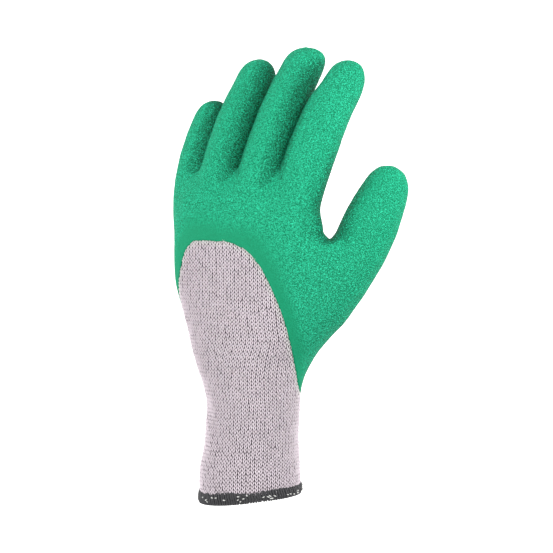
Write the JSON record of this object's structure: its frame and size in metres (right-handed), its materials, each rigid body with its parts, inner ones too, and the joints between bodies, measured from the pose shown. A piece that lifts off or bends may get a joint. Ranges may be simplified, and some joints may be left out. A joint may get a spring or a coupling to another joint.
{
  "type": "latex coated grip glove",
  "caption": "Left-hand work glove: a seamless knitted liner with a long cuff and overlocked binding, and a crinkled latex coating over the palm, fingers, thumb and knuckles.",
  "frame": {"origin": "centre of the cuff's mouth, where the wrist goes in", "axes": "+Z from the cuff to the fingertips, +X to the thumb's side, +Y to the palm"},
  "size_m": [0.1307, 0.0834, 0.2368],
  "materials": {
    "knit": "knitted",
    "latex": "crinkled",
    "binding_thread": "overlocked"
  },
  "bodies": {
    "root": {"knit_liner": "knit", "latex_coating": "latex", "cuff_binding": "binding_thread"}
  },
  "joints": []
}
